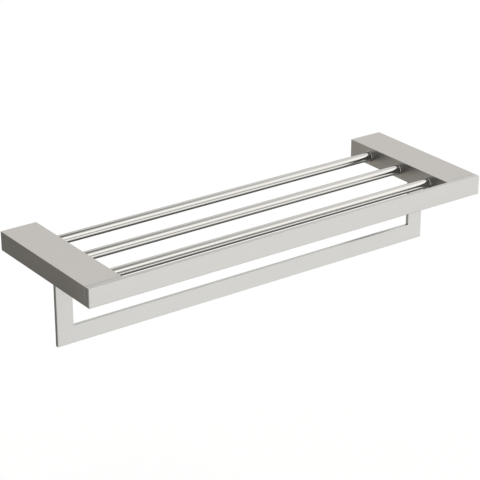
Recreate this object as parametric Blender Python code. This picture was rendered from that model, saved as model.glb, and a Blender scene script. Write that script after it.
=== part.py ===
"""Wall towel rack with a shelf of three rods, in metres, +Z up.

Two hollow side housings slide over wall mounts and are locked from below. A flat front rail
closes the housings' front ends. Three polished rods run between the housings and seat in a
carrier inside each one, and a U-shaped plate hangs from the housings as the towel bar.
X runs along the rack, the wall is the plane Y = 0 and the rack stands out towards -Y.
Z = 0 is the mid-height of the housings.
"""

import bmesh
import bpy
from math import radians, sqrt, tau
from mathutils import Vector

# Whole rack
RACK_LENGTH = 0.600
RACK_DEPTH = 0.205
FIT_GAP = 0.0003
OVERRUN = 0.001
MERGE_DISTANCE = 0.000001
SHARP_ANGLE = radians(30)

# Side housings
HOUSING_WIDTH = 0.050
HOUSING_HEIGHT = 0.0254
HOUSING_WALL = 0.002
HOUSING_FRONT_WALL = 0.003
HOUSING_EDGE = 0.0009

# Front rail
RAIL_THICKNESS = 0.008
RAIL_EDGE = 0.0006
RAIL_HOLE_DEPTH = 0.006
RAIL_SCREW_SPACING = 0.028

# Shelf rods
ROD_DIAMETER = 0.0125
ROD_WALL = 0.001
ROD_FROM_WALL = 0.0401
ROD_FROM_RAIL = 0.0366
ROD_ENGAGEMENT = 0.008
PLUG_LENGTH = 0.012
COLLAR_WALL = 0.00065
COLLAR_THICKNESS = 0.0012
COLLAR_EDGE = 0.0003

# Towel bar
PLATE_THICKNESS = 0.005
PLATE_FRONT = 0.108
PLATE_INSET = 0.012
PLATE_LEG_WIDTH = 0.023
PLATE_BAR_HEIGHT = 0.023
PLATE_HANG = 0.0926
PLATE_EDGE = 0.0004
TAB_SHOULDER = 0.003
TAB_HEADROOM = 0.005

# Carriers inside the housings
CARRIER_END = 0.010
CARRIER_BACK = 0.002
CARRIER_CHEEK = 0.010
CARRIER_WEB = 0.002

# Wall mounts
MOUNT_DEPTH = 0.016
MOUNT_EDGE = 0.0008
MOUNT_HOLE_SPACING = 0.028
MOUNT_HOLE_DIAMETER = 0.0055
MOUNT_SINK_DIAMETER = 0.010

# Set screws, from below
SET_SCREW_DIAMETER = 0.005
SET_SCREW_KEY = 0.0025
SET_SCREW_RECESS = 0.0005
MOUNT_SET_SCREW_LENGTH = 0.008

# Cap screws, in the rail and in the towel bar's tabs
CAP_SCREW_DIAMETER = 0.004
CAP_HEAD_DIAMETER = 0.007
CAP_HEAD_HEIGHT = 0.004
CAP_SCREW_KEY = 0.003
LOCK_SCREW_BITE = 0.007
RAIL_SCREW_BITE = 0.005

# Countersunk screws, from below into the carriers
SUNK_SCREW_DIAMETER = 0.003
SUNK_HEAD_DIAMETER = 0.0056
SUNK_SCREW_LENGTH = 0.008
SUNK_SCREW_KEY = 0.002
SCREW_TIP = 0.0004

# Counts of faces round a turned piece
ROD_SIDES = 40
SCREW_SIDES = 16
HEX_SIDES = 6
EDGE_STEPS = 2

# Shares
socket_depth_share = 0.4
sunk_socket_depth_share = 0.25

# Directions
RIGHT = Vector((1, 0, 0))
FORWARD = Vector((0, -1, 0))
BACKWARD = Vector((0, 1, 0))
UP = Vector((0, 0, 1))

# Places that follow from the sizes
TOP = HOUSING_HEIGHT / 2
HOUSING_DEPTH = RACK_DEPTH - RAIL_THICKNESS - FIT_GAP
ROOM_TOP = TOP - HOUSING_WALL
CARRIER_TOP = ROOM_TOP - FIT_GAP
ROD_RADIUS = ROD_DIAMETER / 2
ROD_HEIGHT = 0
LAST_ROD = RACK_DEPTH - RAIL_THICKNESS - ROD_FROM_RAIL
MIDDLE_ROD = (ROD_FROM_WALL + LAST_ROD) / 2
RODS = {"rear": ROD_FROM_WALL, "middle": MIDDLE_ROD, "front": LAST_ROD}
SIDES = {"left": -1, "right": 1}

# Insets from a housing's outer side face towards the middle of the rack
SEAT_INSET = HOUSING_WIDTH - HOUSING_WALL - FIT_GAP
ROD_END_INSET = SEAT_INSET - ROD_ENGAGEMENT
SPINE_INSET = ROD_END_INSET - FIT_GAP - CARRIER_BACK
SPINE_MIDDLE = (SEAT_INSET + SPINE_INSET) / 2
TAB_OUTER = PLATE_INSET + TAB_SHOULDER
TAB_INNER = min(PLATE_INSET + PLATE_LEG_WIDTH - TAB_SHOULDER, SPINE_INSET - CARRIER_WEB)
TAB_MIDDLE = (TAB_OUTER + TAB_INNER) / 2
TAB_TOP = ROOM_TOP - TAB_HEADROOM
LOCK_HEIGHT = (TAB_TOP - ROOM_TOP) / 2
PLATE_MIDDLE = PLATE_FRONT - PLATE_THICKNESS / 2


def across(side, inset):
    """X of a point that lies this far in from the outer face of the housing on this side."""
    return side * (RACK_LENGTH / 2 - inset)


def finish(name, bm, material, place=(0, 0, 0), turn=None):
    """Make a named object of a bmesh, smooth but for its sharp edges."""
    bmesh.ops.recalc_face_normals(bm, faces=bm.faces)
    mesh = bpy.data.meshes.new(name)
    bm.to_mesh(mesh)
    bm.free()
    mesh.shade_smooth()
    mesh.set_sharp_from_angle(angle=SHARP_ANGLE)
    if material:
        mesh.materials.append(material)
    obj = bpy.data.objects.new(name, mesh)
    obj.location = place
    if turn:
        obj.rotation_euler = turn
    obj.parent = rack
    bpy.context.collection.objects.link(obj)
    return obj


def cut(target, cutter):
    """Take the cutter's shape out of the target."""
    cutter.hide_render = True
    cutter.display_type = "WIRE"
    modifier = target.modifiers.new(cutter.name, "BOOLEAN")
    modifier.operation = "DIFFERENCE"
    modifier.object = cutter


def block(name, low, high, material=None, edge=0, rounded=None):
    """A box between two corners, with the edges that rounded() picks rounded off."""
    low, high = Vector(low), Vector(high)
    bm = bmesh.new()
    bmesh.ops.create_cube(bm, size=1)
    bmesh.ops.scale(bm, vec=high - low, verts=bm.verts)
    if rounded:
        chosen = [e for e in bm.edges if rounded(e.verts[1].co - e.verts[0].co, e.verts[0].co)]
        bmesh.ops.bevel(
            bm, geom=chosen, offset=edge, segments=EDGE_STEPS, profile=0.5, affect="EDGES"
        )
    return finish(name, bm, material, place=(low + high) / 2)


def corners(side, insets, distances, heights):
    """Low and high corner of a box, from its two insets from a housing's outer face, its
    nearer and further distance from the wall, and its heights."""
    xs = sorted(across(side, inset) for inset in insets)
    near, far = distances
    return (xs[0], -far, heights[0]), (xs[1], -near, heights[1])


def turned(name, outline, place, direction, material=None, sides=SCREW_SIDES, ring=False):
    """A solid turned round a line through place. The outline's points are (radius, distance
    along the line). It starts and ends on the line, or goes round a ring's section."""
    bm = bmesh.new()
    points = [bm.verts.new((radius, 0, along)) for radius, along in outline]
    ends = points[1:] + points[:1] if ring else points[1:]
    lines = [bm.edges.new(pair) for pair in zip(points, ends)]
    bmesh.ops.spin(
        bm, geom=points + lines, cent=(0, 0, 0), axis=UP, angle=tau, steps=sides, use_merge=True
    )
    bmesh.ops.remove_doubles(bm, verts=bm.verts, dist=MERGE_DISTANCE)
    turn = UP.rotation_difference(direction).to_euler()
    return finish(name, bm, material, place, turn)


def drill(target, name, place, direction, diameter, start, end, sides=SCREW_SIDES):
    """Drill a round hole with the fit gap round a shaft of this diameter."""
    radius = diameter / 2 + FIT_GAP
    outline = [(0, start), (radius, start), (radius, end), (0, end)]
    cut(target, turned(name, outline, place, direction, sides=sides))


def cut_socket(screw, place, direction, key, depth):
    """Cut the hexagon for a key into a screw's outer end."""
    radius = key / sqrt(3)
    outline = [(0, -OVERRUN), (radius, -OVERRUN), (radius, depth), (0, depth)]
    cut(screw, turned(screw.name + "_socket", outline, place, direction, sides=HEX_SIDES))


def metal(name, colour, roughness):
    """A bare metal of one colour."""
    material = bpy.data.materials.new(name)
    material.use_nodes = True
    shader = material.node_tree.nodes["Principled BSDF"]
    shader.inputs["Base Color"].default_value = (*colour, 1)
    shader.inputs["Metallic"].default_value = 1
    shader.inputs["Roughness"].default_value = roughness
    material.diffuse_color = (*colour, 1)
    return material


def set_screw(name, place, direction, length):
    """A headless screw with a key socket in its outer end."""
    radius = SET_SCREW_DIAMETER / 2
    outline = [
        (0, 0),
        (radius - SCREW_TIP, 0),
        (radius, SCREW_TIP),
        (radius, length - SCREW_TIP),
        (radius - SCREW_TIP, length),
        (0, length),
    ]
    screw = turned(name, outline, place, direction, screw_steel)
    cut_socket(screw, place, direction, SET_SCREW_KEY, length * socket_depth_share)


def cap_screw(name, place, direction, length):
    """A screw with a round head. Its shank starts at place and runs along the direction."""
    head, shank = CAP_HEAD_DIAMETER / 2, CAP_SCREW_DIAMETER / 2
    outline = [
        (0, -CAP_HEAD_HEIGHT),
        (head - SCREW_TIP, -CAP_HEAD_HEIGHT),
        (head, SCREW_TIP - CAP_HEAD_HEIGHT),
        (head, 0),
        (shank, 0),
        (shank, length - SCREW_TIP),
        (shank - SCREW_TIP, length),
        (0, length),
    ]
    screw = turned(name, outline, place, direction, screw_steel)
    outer_end = Vector(place) - direction * CAP_HEAD_HEIGHT
    cut_socket(screw, outer_end, direction, CAP_SCREW_KEY, CAP_HEAD_HEIGHT * socket_depth_share)


def sunk_outline(head, shank, length, tip):
    """Section of a countersunk screw, whose cone has a right angle at its point."""
    cone = head - shank
    return [(0, 0), (head, 0), (shank, cone), (shank, length - tip), (shank - tip, length), (0, length)]


def sunk_screw(name, place):
    """A countersunk screw that goes straight up, its head flush with the place."""
    head, shank = SUNK_HEAD_DIAMETER / 2, SUNK_SCREW_DIAMETER / 2
    outline = sunk_outline(head, shank, SUNK_SCREW_LENGTH, SCREW_TIP)
    screw = turned(name, outline, place, UP, screw_steel)
    cut_socket(screw, place, UP, SUNK_SCREW_KEY, SUNK_SCREW_LENGTH * sunk_socket_depth_share)


def sink(target, name, place):
    """Cut the seat of a countersunk screw, a fit gap wider than the screw all round."""
    head, shank = SUNK_HEAD_DIAMETER / 2 + FIT_GAP, SUNK_SCREW_DIAMETER / 2 + FIT_GAP
    length = SUNK_SCREW_LENGTH + FIT_GAP
    outline = [(0, -OVERRUN), (head, -OVERRUN)] + sunk_outline(head, shank, length, 0)[1:]
    cut(target, turned(name, outline, place, UP))


def along_housing(direction, _):
    """Picks the four edges that run from the wall to the rail."""
    return abs(direction.y) > abs(direction.x) + abs(direction.z)


def every_edge(_, __):
    """Picks all edges."""
    return True


def away_from_wall(direction, start):
    """Picks the edges that don't lie in the face against the wall."""
    return start.y < 0 or abs(direction.y) > 0


def carrier_screw_distances():
    """Distances from the wall of a carrier's two fixing screws, midway between the rods."""
    rear, middle, front = RODS.values()
    return {"rear": (rear + middle) / 2, "front": (middle + front) / 2}


def screw_pair(spacing):
    """Insets of two screws set evenly about the middle of a housing."""
    middle = HOUSING_WIDTH / 2
    return {"outer": middle - spacing / 2, "inner": middle + spacing / 2}


def make_housing(word, side):
    """A hollow box, open at the wall and closed in front by the wall that holds the rail."""
    name = word + "_housing"
    outside = corners(side, (0, HOUSING_WIDTH), (0, HOUSING_DEPTH), (-TOP, TOP))
    housing = block(name, *outside, brushed_steel, HOUSING_EDGE, along_housing)
    front = HOUSING_DEPTH - HOUSING_FRONT_WALL
    insets = (HOUSING_WALL, HOUSING_WIDTH - HOUSING_WALL)
    hollow = corners(side, insets, (-OVERRUN, front), (-ROOM_TOP, ROOM_TOP))
    cut(housing, block(name + "_hollow", *hollow))
    cut_rod_holes(housing, side)
    cut_tab_slot(housing, side)
    cut_underside_holes(housing, side)
    for place, inset in screw_pair(RAIL_SCREW_SPACING).items():
        start = (across(side, inset), -front, 0)
        hole = name + "_rail_hole_" + place
        drill(housing, hole, start, FORWARD, CAP_SCREW_DIAMETER, -OVERRUN, HOUSING_FRONT_WALL + OVERRUN)


def cut_rod_holes(housing, side):
    """Round holes in the inner wall, where the rods go in."""
    for place, distance in RODS.items():
        start = (across(side, HOUSING_WIDTH), -distance, ROD_HEIGHT)
        name = housing.name + "_rod_hole_" + place
        reach = HOUSING_WALL + OVERRUN
        drill(housing, name, start, RIGHT * side, ROD_DIAMETER, -OVERRUN, reach, ROD_SIDES)


def cut_tab_slot(housing, side):
    """The slot in the underside that takes the towel bar's tab."""
    slot = corners(side, *tab_room(), (-TOP - OVERRUN, OVERRUN - ROOM_TOP))
    cut(housing, block(housing.name + "_slot", *slot))


def tab_room():
    """Insets and distances of the room that a tab needs, a fit gap wider all round."""
    insets = (TAB_OUTER - FIT_GAP, TAB_INNER + FIT_GAP)
    distances = (PLATE_FRONT - PLATE_THICKNESS - FIT_GAP, PLATE_FRONT + FIT_GAP)
    return insets, distances


def cut_underside_holes(housing, side):
    """Holes for the set screws and the seats of the carrier's screws."""
    through = HOUSING_WALL + OVERRUN
    for place, distance in RODS.items():
        start = (across(side, rod_screw_inset()), -distance, -TOP)
        name = housing.name + "_set_hole_" + place
        drill(housing, name, start, UP, SET_SCREW_DIAMETER, -OVERRUN, through)
    start = (across(side, HOUSING_WIDTH / 2), -MOUNT_DEPTH / 2, -TOP)
    drill(housing, housing.name + "_mount_hole", start, UP, SET_SCREW_DIAMETER, -OVERRUN, through)
    for place, distance in carrier_screw_distances().items():
        start = (across(side, SPINE_MIDDLE), -distance, -TOP)
        sink(housing, housing.name + "_sink_" + place, start)


def rod_screw_inset():
    """Where a set screw meets its rod, midway along the stretch that the carrier holds."""
    return SEAT_INSET - ROD_ENGAGEMENT / 2


def make_rail():
    """The flat bar across the front, with blind holes in its back for the rail screws."""
    back = RACK_DEPTH - RAIL_THICKNESS
    half = RACK_LENGTH / 2
    low, high = (-half, -RACK_DEPTH, -TOP), (half, -back, TOP)
    rail = block("front_rail", low, high, brushed_steel, RAIL_EDGE, every_edge)
    for word, side in SIDES.items():
        for place, inset in screw_pair(RAIL_SCREW_SPACING).items():
            start = (across(side, inset), -back, 0)
            name = "_".join(("rail_hole", word, place))
            drill(rail, name, start, FORWARD, CAP_SCREW_DIAMETER, -OVERRUN, RAIL_HOLE_DEPTH)


def make_rail_screws(word, side):
    """Two screws from inside a housing, through its front wall into the rail."""
    seat = HOUSING_DEPTH - HOUSING_FRONT_WALL - FIT_GAP
    length = HOUSING_FRONT_WALL + FIT_GAP + RAIL_SCREW_BITE
    for place, inset in screw_pair(RAIL_SCREW_SPACING).items():
        start = (across(side, inset), -seat, 0)
        cap_screw("_".join((word, "rail_screw", place)), start, FORWARD, length)


def make_rods():
    """Three tubes that end inside the carriers."""
    reach = RACK_LENGTH / 2 - ROD_END_INSET
    bore = ROD_RADIUS - ROD_WALL
    section = [(bore, -reach), (ROD_RADIUS, -reach), (ROD_RADIUS, reach), (bore, reach)]
    for place, distance in RODS.items():
        middle = (0, -distance, ROD_HEIGHT)
        turned(place + "_rod", section, middle, RIGHT, polished_steel, ROD_SIDES, ring=True)


def make_rod_ends(word, side):
    """The collar round each rod, the plug inside its end and the set screw that holds it."""
    outside = ROD_RADIUS + FIT_GAP + COLLAR_WALL
    inside = ROD_RADIUS + FIT_GAP
    collar = [
        (inside, 0),
        (outside, 0),
        (outside, COLLAR_THICKNESS - COLLAR_EDGE),
        (outside - COLLAR_EDGE, COLLAR_THICKNESS),
        (inside, COLLAR_THICKNESS),
    ]
    plug_radius = ROD_RADIUS - ROD_WALL - FIT_GAP
    plug = [(0, 0), (plug_radius, 0), (plug_radius, PLUG_LENGTH), (0, PLUG_LENGTH)]
    inward = RIGHT * -side
    screw_bottom = SET_SCREW_RECESS - TOP
    screw_length = ROD_HEIGHT - ROD_RADIUS - FIT_GAP - screw_bottom
    for place, distance in RODS.items():
        name = word + "_" + place
        face = (across(side, HOUSING_WIDTH + FIT_GAP), -distance, ROD_HEIGHT)
        turned(name + "_collar", collar, face, inward, polished_steel, ROD_SIDES, ring=True)
        end = (across(side, ROD_END_INSET), -distance, ROD_HEIGHT)
        turned(name + "_rod_plug", plug, end, inward, screw_steel)
        start = (across(side, rod_screw_inset()), -distance, screw_bottom)
        set_screw(name + "_rod_screw", start, UP, screw_length)


def carrier_plan(side):
    """Outline of a carrier seen from above: a spine along the housing's inner wall, and a
    wider part in the middle that clamps the towel bar's tab."""
    back, front = ROD_FROM_WALL - CARRIER_END, LAST_ROD + CARRIER_END
    half = PLATE_THICKNESS / 2 + FIT_GAP + CARRIER_CHEEK
    outer = HOUSING_WALL + FIT_GAP
    plan = [
        (SEAT_INSET, back),
        (SPINE_INSET, back),
        (SPINE_INSET, PLATE_MIDDLE - half),
        (outer, PLATE_MIDDLE - half),
        (outer, PLATE_MIDDLE + half),
        (SPINE_INSET, PLATE_MIDDLE + half),
        (SPINE_INSET, front),
        (SEAT_INSET, front),
    ]
    return [(across(side, inset), -distance) for inset, distance in plan]


def prism(name, points, depth, direction, material, edge=0):
    """A flat outline drawn out along a direction, with the edges of both ends eased where
    asked."""
    bm = bmesh.new()
    face = bm.faces.new([bm.verts.new(point) for point in points])
    grown = bmesh.ops.extrude_face_region(bm, geom=[face])["geom"]
    moved = [item for item in grown if isinstance(item, bmesh.types.BMVert)]
    bmesh.ops.translate(bm, verts=moved, vec=direction * depth)
    if edge:
        outline = {e for f in bm.faces if len(f.verts) == len(points) for e in f.edges}
        bmesh.ops.bevel(bm, geom=list(outline), offset=edge, segments=1, affect="EDGES")
    return finish(name, bm, material)


def make_carrier(word, side):
    """The casting inside a housing that holds the rods' ends and the towel bar's tab."""
    name = word + "_carrier"
    points = [(x, y, -CARRIER_TOP) for x, y in carrier_plan(side)]
    carrier = prism(name, points, 2 * CARRIER_TOP, UP, cast_aluminium)
    for place, distance in RODS.items():
        start = (across(side, SEAT_INSET), -distance, ROD_HEIGHT)
        depth = ROD_ENGAGEMENT + FIT_GAP
        bore = name + "_bore_" + place
        drill(carrier, bore, start, RIGHT * side, ROD_DIAMETER, -OVERRUN, depth, ROD_SIDES)
        start = (across(side, rod_screw_inset()), -distance, -CARRIER_TOP)
        tap = name + "_tap_" + place
        drill(carrier, tap, start, UP, SET_SCREW_DIAMETER, -OVERRUN, CARRIER_TOP + ROD_HEIGHT)
    for place, distance in carrier_screw_distances().items():
        sink(carrier, name + "_sink_" + place, (across(side, SPINE_MIDDLE), -distance, -TOP))
    cut_clamp(carrier, side)


def cut_clamp(carrier, side):
    """The tab's slot and the hole of the screw that crosses it."""
    slot = corners(side, *tab_room(), (-CARRIER_TOP - OVERRUN, TAB_TOP + FIT_GAP))
    cut(carrier, block(carrier.name + "_slot", *slot))
    start = (across(side, TAB_MIDDLE), -lock_seat(), LOCK_HEIGHT)
    length = lock_length() + FIT_GAP
    drill(carrier, carrier.name + "_lock_hole", start, FORWARD, CAP_SCREW_DIAMETER, -OVERRUN, length)


def lock_seat():
    """Distance from the wall of the carrier face that a lock screw's head is drawn against."""
    return PLATE_MIDDLE - PLATE_THICKNESS / 2 - FIT_GAP - CARRIER_CHEEK - FIT_GAP


def lock_length():
    """A lock screw crosses the rear cheek and the tab, and bites in the front cheek."""
    return CARRIER_CHEEK + 3 * FIT_GAP + PLATE_THICKNESS + LOCK_SCREW_BITE


def towel_bar_outline():
    """Outline of the plate seen from the front: two legs with a tab each, and the bar."""
    leg_top = -TOP - FIT_GAP
    bottom = -TOP - PLATE_HANG
    leg_inner = PLATE_INSET + PLATE_LEG_WIDTH
    half = [
        (PLATE_INSET, bottom),
        (PLATE_INSET, leg_top),
        (TAB_OUTER, leg_top),
        (TAB_OUTER, TAB_TOP),
        (TAB_INNER, TAB_TOP),
        (TAB_INNER, leg_top),
        (leg_inner, leg_top),
        (leg_inner, bottom + PLATE_BAR_HEIGHT),
    ]
    left = [(across(-1, inset), z) for inset, z in half]
    right = [(across(1, inset), z) for inset, z in reversed(half)]
    return left + right


def make_towel_bar():
    """One U-shaped plate, cut from flat stock, that hangs under both housings."""
    points = [(x, -PLATE_FRONT, z) for x, z in towel_bar_outline()]
    bar = prism("towel_bar", points, PLATE_THICKNESS, BACKWARD, brushed_steel, PLATE_EDGE)
    for word, side in SIDES.items():
        start = (across(side, TAB_MIDDLE), -PLATE_FRONT, LOCK_HEIGHT)
        name = "towel_bar_hole_" + word
        drill(bar, name, start, BACKWARD, CAP_SCREW_DIAMETER, -OVERRUN, PLATE_THICKNESS + OVERRUN)


def make_wall_mount(word, side):
    """The block that is screwed to the wall and fills the housing's open end."""
    name = word + "_wall_mount"
    insets = (HOUSING_WALL + FIT_GAP, SEAT_INSET)
    shape = corners(side, insets, (0, MOUNT_DEPTH), (-CARRIER_TOP, CARRIER_TOP))
    mount = block(name, *shape, cast_aluminium, MOUNT_EDGE, away_from_wall)
    for place, inset in screw_pair(MOUNT_HOLE_SPACING).items():
        start = (across(side, inset), -MOUNT_DEPTH, 0)
        hole, head = MOUNT_HOLE_DIAMETER / 2, MOUNT_SINK_DIAMETER / 2
        end = MOUNT_DEPTH + OVERRUN
        outline = [(0, -OVERRUN), (head, -OVERRUN), (head, 0), (hole, head - hole), (hole, end), (0, end)]
        cut(mount, turned("_".join((name, "hole", place)), outline, start, BACKWARD))
    start = (across(side, HOUSING_WIDTH / 2), -MOUNT_DEPTH / 2, SET_SCREW_RECESS - TOP)
    depth = MOUNT_SET_SCREW_LENGTH + FIT_GAP
    drill(mount, name + "_tap", start, UP, SET_SCREW_DIAMETER, -OVERRUN, depth)
    set_screw(word + "_mount_screw", start, UP, MOUNT_SET_SCREW_LENGTH)


def make_carrier_screws(word, side):
    """Two countersunk screws from below and the cap screw that locks the tab."""
    for place, distance in carrier_screw_distances().items():
        start = (across(side, SPINE_MIDDLE), -distance, -TOP)
        sunk_screw("_".join((word, "carrier_screw", place)), start)
    start = (across(side, TAB_MIDDLE), -lock_seat(), LOCK_HEIGHT)
    cap_screw(word + "_lock_screw", start, FORWARD, lock_length())


for old in list(bpy.data.objects):
    bpy.data.objects.remove(old)

rack = bpy.data.objects.new("rack", None)
bpy.context.collection.objects.link(rack)

brushed_steel = metal("brushed_steel", (0.60, 0.59, 0.57), 0.35)
polished_steel = metal("polished_steel", (0.80, 0.80, 0.79), 0.08)
cast_aluminium = metal("cast_aluminium", (0.45, 0.45, 0.46), 0.50)
screw_steel = metal("screw_steel", (0.50, 0.50, 0.51), 0.30)

make_rail()
make_rods()
make_towel_bar()
for side_name, side_sign in SIDES.items():
    make_housing(side_name, side_sign)
    make_carrier(side_name, side_sign)
    make_wall_mount(side_name, side_sign)
    make_rod_ends(side_name, side_sign)
    make_rail_screws(side_name, side_sign)
    make_carrier_screws(side_name, side_sign)
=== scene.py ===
from math import pi, radians

import bmesh
import bpy
import numpy as np
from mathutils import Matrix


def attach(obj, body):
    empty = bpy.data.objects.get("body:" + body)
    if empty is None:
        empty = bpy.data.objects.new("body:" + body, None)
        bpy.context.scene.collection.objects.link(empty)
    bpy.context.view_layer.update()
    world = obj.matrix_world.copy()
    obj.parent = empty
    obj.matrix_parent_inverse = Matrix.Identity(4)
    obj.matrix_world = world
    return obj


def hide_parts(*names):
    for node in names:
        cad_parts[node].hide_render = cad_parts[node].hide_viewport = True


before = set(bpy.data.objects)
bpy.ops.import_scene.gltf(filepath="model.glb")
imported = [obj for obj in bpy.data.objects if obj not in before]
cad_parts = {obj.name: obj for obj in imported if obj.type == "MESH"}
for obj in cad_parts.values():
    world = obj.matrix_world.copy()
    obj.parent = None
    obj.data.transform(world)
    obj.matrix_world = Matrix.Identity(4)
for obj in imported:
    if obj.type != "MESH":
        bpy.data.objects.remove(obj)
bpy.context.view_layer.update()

# Wall mounts
# Two blocks of cast aluminium, each held flat to the wall by two countersunk screws.
# The open rear end of a housing slides over each one. Their cast skin is left bare.
MOUNT_WIDTH = (0.2523, 0.2977)
MOUNT_HEIGHT = (-0.0104, 0.0104)
MOUNT_DEPTH = 0.016
MOUNT_EDGE = 0.0008
WALL_SCREWS = (0.261, 0.289)
WALL_SCREW_HOLE = 0.00275
WALL_SCREW_SINK = 0.00225
WALL_SCREW_FIELD = 0.0058
TAP_HOLE = 0.0028
TAP_FIELD = 0.0035
TAP_DEPTH, TAP_POINT = 0.0065, 0.001
HOLE_EDGE = 0.0002
HOUSING_MIDDLE = 0.275
SIDES = {"left": -1, "right": 1}
FINE = 0.0009
EDGE_STEPS = 4
ROUND, SLOTTED = 2, 16
DIGITS = 7
NEAR = 1e-6
SHARP_ANGLE = radians(33)
CUT_END = 0.8
CAST_DARK, CAST_LIGHT = (0.40, 0.40, 0.41), (0.60, 0.60, 0.61)


def stations(low, high, fields):
    """Places from low to high: the ends of every field that a hole stands in, with each
    field cut into steps about as long as FINE and the stretches between them left whole."""
    ends = np.unique(np.round(np.r_[low, high, np.ravel(fields)], DIGITS))
    parts = [ends[-1:]]
    for start, end in zip(ends[:-1], ends[1:]):
        middle = (start + end) / 2
        in_field = any(a < middle < b for a, b in fields)
        steps = max(1, round((end - start) / FINE)) if in_field else 1
        parts.append(np.linspace(start, end, steps, endpoint=False))
    return np.sort(np.concatenate(parts))


def around(middle, half):
    """The stretch that reaches this far to both sides of a middle."""
    return middle - half, middle + half


def box_outline(us, vs, radius, steps=EDGE_STEPS, low=None):
    """Outline of a box section with round corners, as points (u, v) and the directions they
    face. It runs along the bottom at us, up at vs, back along the top and down. us and vs run
    between the corners' middles, and a corner is its middle + radius * (cos a, sin a). The two
    corners at the first u can have a smaller radius, low."""
    low = radius if low is None else low
    bottom, top = vs[0] - (radius - low), vs[-1] + (radius - low)
    down = np.unique(np.r_[bottom, vs, top])[::-1]
    sides, facing = [], []
    for turn in range(4):
        outward = np.array([(0, -1), (1, 0), (0, 1), (-1, 0)][turn])
        run, level, size = (
            (us, vs[0], radius), (vs, us[-1], radius), (us[::-1], top, low), (down, us[0], low)
        )[turn]
        flat = np.c_[run, np.full(len(run), level)] if turn % 2 == 0 else np.c_[np.full(len(run), level), run]
        a = pi / 2 * (turn - 1 + np.arange(1, steps) / steps)
        out = np.r_[np.tile(outward, (len(run), 1)), np.c_[np.cos(a), np.sin(a)]]
        core = np.r_[flat, np.tile(flat[-1], (steps - 1, 1))]
        sides.append(core + size * out)
        facing.append(out)
    return np.concatenate(sides), np.concatenate(facing)


def round_end(face, size, way):
    """Rows (w, drawn in) of an end rounded off up to a face: w = face - way * size * (1 - sin a)
    and drawn in by size * (1 - cos a), for a from 0 to 90 degrees."""
    a = np.linspace(0, pi / 2, EDGE_STEPS + 1)
    return np.c_[face - way * size * (1 - np.sin(a)), size * (1 - np.cos(a))]


def put(uv, w, axes):
    """Points (u, v) at the distance w, in metres of the rack: u, v and w times their axes."""
    w = np.broadcast_to(np.asarray(w, float), uv.shape[:-1])
    return np.concatenate([uv, w[..., None]], -1) @ np.asarray(axes, float)


def carry(outline, rows, axes):
    """An outline carried along w: row k is the outline drawn in by rows[k, 1] at rows[k, 0]."""
    points, out = outline
    return put(points - rows[:, 1, None, None] * out, rows[:, 0, None], axes)


def end_sheet(outline, us, vs, drawn_in, at, axes):
    """Flat end of a carried outline: a sheet between the corners' middles, and a band that
    joins the drawn-in outline to the nearest points of the sheet."""
    points, out = outline
    ring = points - drawn_in * out
    nearest = np.clip(ring, (us[0], vs[0]), (us[-1], vs[-1]))
    sheet = np.stack(np.meshgrid(us, vs), -1)
    return put(np.stack([ring, nearest]), at, axes), put(sheet, at, axes)


def within(values, stretch):
    """Whether each value lies in a stretch."""
    return (values > stretch[0] - NEAR) & (values < stretch[1] + NEAR)


def span(values, stretch):
    """First and last of the values that lie in a stretch."""
    inside = np.flatnonzero(within(values, stretch))
    return inside[0], inside[-1]


def field_on(outline, rows, facing, across, stretch):
    """Rows and columns of a rectangular field on one flat of a carried outline."""
    points, out = outline
    run = points[:, int(facing[0] != 0)]
    columns = np.flatnonzero(np.all(np.isclose(out, facing), 1) & within(run, across))
    return *span(rows[:, 0], stretch), columns[0], columns[-1]


def quads(near, far):
    """Faces between neighbouring rows of point numbers, near and far."""
    return np.stack([near[..., :-1], near[..., 1:], far[..., 1:], far[..., :-1]], -1)


def weave(grid, closed=False, fields=()):
    """Faces between neighbouring points of a grid (rows, columns, 3), with the last column
    joined to the first where closed. The fields stay open."""
    rows, columns = grid.shape[:2]
    index = np.arange(rows * columns).reshape(rows, columns)
    if closed:
        index = np.c_[index, index[:, 0]]
    faces = quads(index[:-1], index[1:])
    keep = np.ones(faces.shape[:2], bool)
    for top, bottom, first, last in fields:
        keep[top:bottom, first:last] = False
    return grid.reshape(-1, 3), faces[keep]


def field_rim(grid, field):
    """The points round a field, in order."""
    top, bottom, first, last = field
    return np.concatenate([
        grid[top, first:last], grid[top:bottom, last],
        grid[bottom, last:first:-1], grid[bottom:top:-1, first],
    ])


def hole(rim, far_rim, middle, sides, inward, half, rings, power=ROUND):
    """A hole with the flat field round it. q is a point of the field's rim, measured from its
    middle in half widths, and |q| = (|qu|^power + |qv|^power)^(1/power). A ring is middle +
    (half + grow) * q / |q| + depth * inward: power 2 is round, a high power is a slot."""
    sides, inward = np.asarray(sides, float), np.asarray(inward, float)
    flat = (rim - (rim.max(0) + rim.min(0)) / 2) @ sides.T
    q = flat / np.abs(flat).max(0)
    q /= (np.abs(q) ** power).sum(1, keepdims=True) ** (1 / power)
    rows = [rim]
    rows += [middle + q * (np.asarray(half) + grow) @ sides + depth * inward for grow, depth in rings]
    if far_rim is not None:
        rows.append(far_rim)
    return weave(np.stack(rows), closed=True)


def sunk_rings(sink, depth):
    """Rings (grow, depth) of a hole right through, widened at its face by as much as it is sunk."""
    return (sink, 0), (0, sink), (0, depth)


def blind_rings(half, depth, point):
    """Rings (grow, depth) of a blind hole with a broken edge and a drill's point at its bottom."""
    return *sunk_rings(HOLE_EDGE, depth), (-half, depth + point)


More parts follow.
